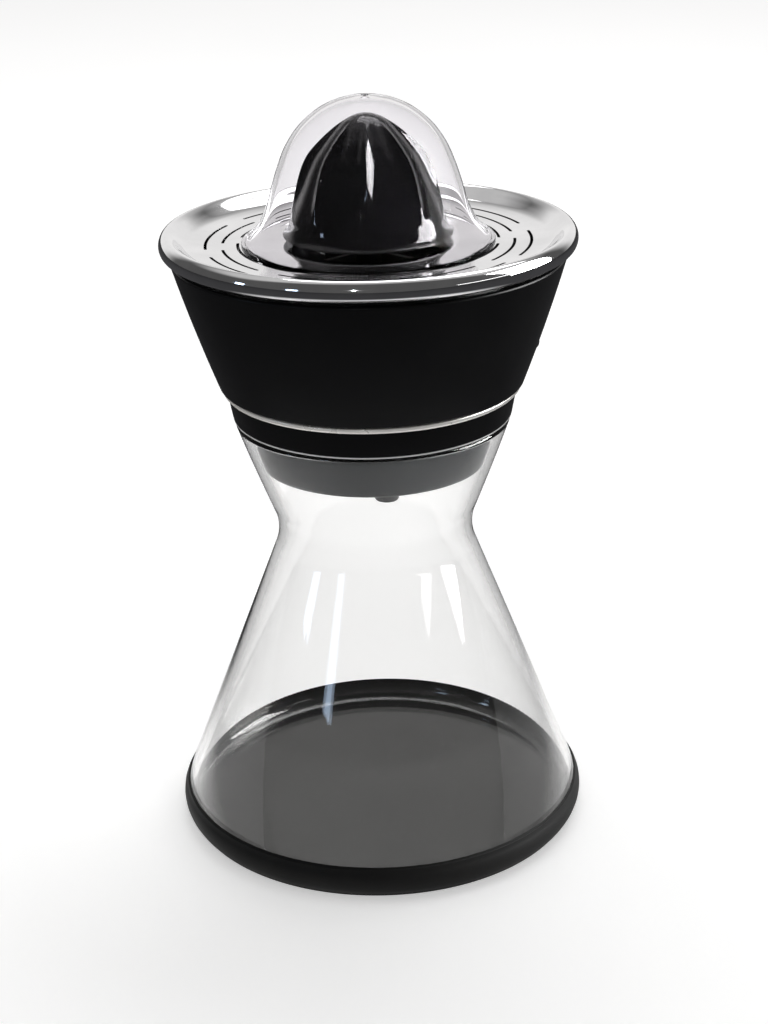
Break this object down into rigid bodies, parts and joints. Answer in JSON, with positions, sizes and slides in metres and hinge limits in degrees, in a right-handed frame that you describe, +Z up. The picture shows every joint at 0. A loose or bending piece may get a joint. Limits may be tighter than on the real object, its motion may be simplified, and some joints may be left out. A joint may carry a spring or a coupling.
{
  "type": "citrus press juicer",
  "caption": "Electric citrus press: black motor head with a ribbed reamer cone, steel strainer dish and clear domed lid, standing on an hourglass glass carafe with a rubber foot.",
  "frame": {"origin": "Centre of the underside of the rubber foot, where the press stands", "axes": "+Z up along the axis of the carafe and the cone, -Y front, +X right; the cord gland is on the +X side"},
  "size_m": [0.1572, 0.1572, 0.2784],
  "materials": {
    "clear_glass": "clear blown glass",
    "black_rubber": "matt black rubber",
    "silicone": "pale translucent silicone",
    "satin_black": "satin black plastic",
    "satin_steel": "fine brushed stainless steel",
    "grey_plastic": "dark grey plastic with a fine grain",
    "black_plastic": "moulded black plastic",
    "inner_plastic": "plain moulded plastic",
    "zinc_steel": "zinc plated steel",
    "bronze": "sintered bronze",
    "ferrite": "dark ferrite",
    "shaft_steel": "ground steel",
    "lamination": "stacked steel laminations",
    "gear_plastic": "natural white acetal",
    "polished_steel": "mirror polished stainless steel",
    "gloss_black": "gloss black plastic",
    "clear_plastic": "clear moulded plastic",
    "terminal_plastic": "cream terminal plastic"
  },
  "bodies": {
    "carafe_body": {"carafe": "clear_glass", "base_ring": "black_rubber"},
    "head": {"seat_gasket": "silicone", "collar": "satin_black", "trim_band": "satin_steel", "housing": "satin_black", "plug_cover": "grey_plastic", "juice_bowl": "black_plastic", "drain_tube": "black_plastic", "drip_nozzle": "grey_plastic", "deck_plate": "inner_plastic", "motor_can": "zinc_steel", "motor_end_cap": "inner_plastic", "motor_bearing": "bronze", "motor_magnets": "ferrite", "idler_axle_one": "shaft_steel", "idler_axle_two": "shaft_steel", "output_washer": "gear_plastic", "lower_bush": "bronze", "upper_bush": "bronze", "shaft_seal": "silicone", "return_spring": "shaft_steel", "micro_switch": "inner_plastic", "cord_gland": "black_rubber", "gland_nut": "inner_plastic", "terminal_block": "terminal_plastic", "post_screws": "zinc_steel", "motor_screws": "zinc_steel"},
    "rotor_body": {"motor_shaft": "shaft_steel", "motor_rotor": "lamination", "motor_pinion": "bronze"},
    "idler_one_body": {"idler_gear_one": "gear_plastic"},
    "idler_two_body": {"idler_gear_two": "gear_plastic"},
    "output_body": {"output_gear": "gear_plastic"},
    "cup_body": {"thrust_cup": "gear_plastic"},
    "spindle_body": {"drive_spindle": "shaft_steel"},
    "lever_body": {"switch_lever": "satin_steel"},
    "strainer_body": {"strainer": "polished_steel"},
    "cone_body": {"reamer_cone": "gloss_black", "cone_hub": "black_plastic"},
    "lid_body": {"lid": "clear_plastic"}
  },
  "joints": [
    {"name": "head_lift", "type": "slide", "parent": "carafe_body", "child": "head", "axis": [0, 0, 1], "range_m": [0, 0.06]},
    {"name": "output_spin", "type": "hinge", "parent": "head", "child": "output_body", "pos_m": [0, 0, 0.15], "axis": [0, 0, 1], "continuous": true},
    {"name": "idler_two_spin", "type": "hinge", "parent": "head", "child": "idler_two_body", "pos_m": [0.02155, -0.00139, 0.152], "axis": [0, 0, 1], "continuous": true},
    {"name": "idler_one_spin", "type": "hinge", "parent": "head", "child": "idler_one_body", "pos_m": [0.01429, 0.01606, 0.158], "axis": [0, 0, 1], "continuous": true},
    {"name": "motor_spin", "type": "hinge", "parent": "head", "child": "rotor_body", "pos_m": [0, 0.027, 0.17], "axis": [0, 0, 1], "continuous": true},
    {"name": "press_slide", "type": "slide", "parent": "head", "child": "cup_body", "axis": [0, 0, 1], "range_m": [-0.0015, 0], "stiffness_N_per_m": 4000, "springref_m": 0.002, "deforming": ["return_spring"]},
    {"name": "spindle_spin", "type": "hinge", "parent": "cup_body", "child": "spindle_body", "pos_m": [0, 0, 0.18], "axis": [0, 0, 1], "continuous": true},
    {"name": "lever_tilt", "type": "hinge", "parent": "head", "child": "lever_body", "pos_m": [-0.031, 0, 0.1778], "axis": [0, 1, 0], "range_deg": [0, 4.2]},
    {"name": "strainer_lift", "type": "slide", "parent": "head", "child": "strainer_body", "axis": [0, 0, 1], "range_m": [0, 0.06]},
    {"name": "cone_lift", "type": "slide", "parent": "spindle_body", "child": "cone_body", "axis": [0, 0, 1], "range_m": [0, 0.06]},
    {"name": "lid_lift", "type": "slide", "parent": "strainer_body", "child": "lid_body", "axis": [0, 0, 1], "range_m": [0, 0.07]}
  ],
  "couplings": [
    {"joint": "idler_two_spin", "follows": "motor_spin", "ratio": 0.057143},
    {"joint": "idler_one_spin", "follows": "motor_spin", "ratio": -0.2},
    {"joint": "output_spin", "follows": "motor_spin", "ratio": -0.019048},
    {"joint": "spindle_spin", "follows": "motor_spin", "ratio": -0.019048},
    {"joint": "lever_tilt", "follows": "press_slide", "rad_per_m": -46.5},
    {"joint": "cone_lift", "follows": "strainer_lift", "ratio": 1}
  ]
}
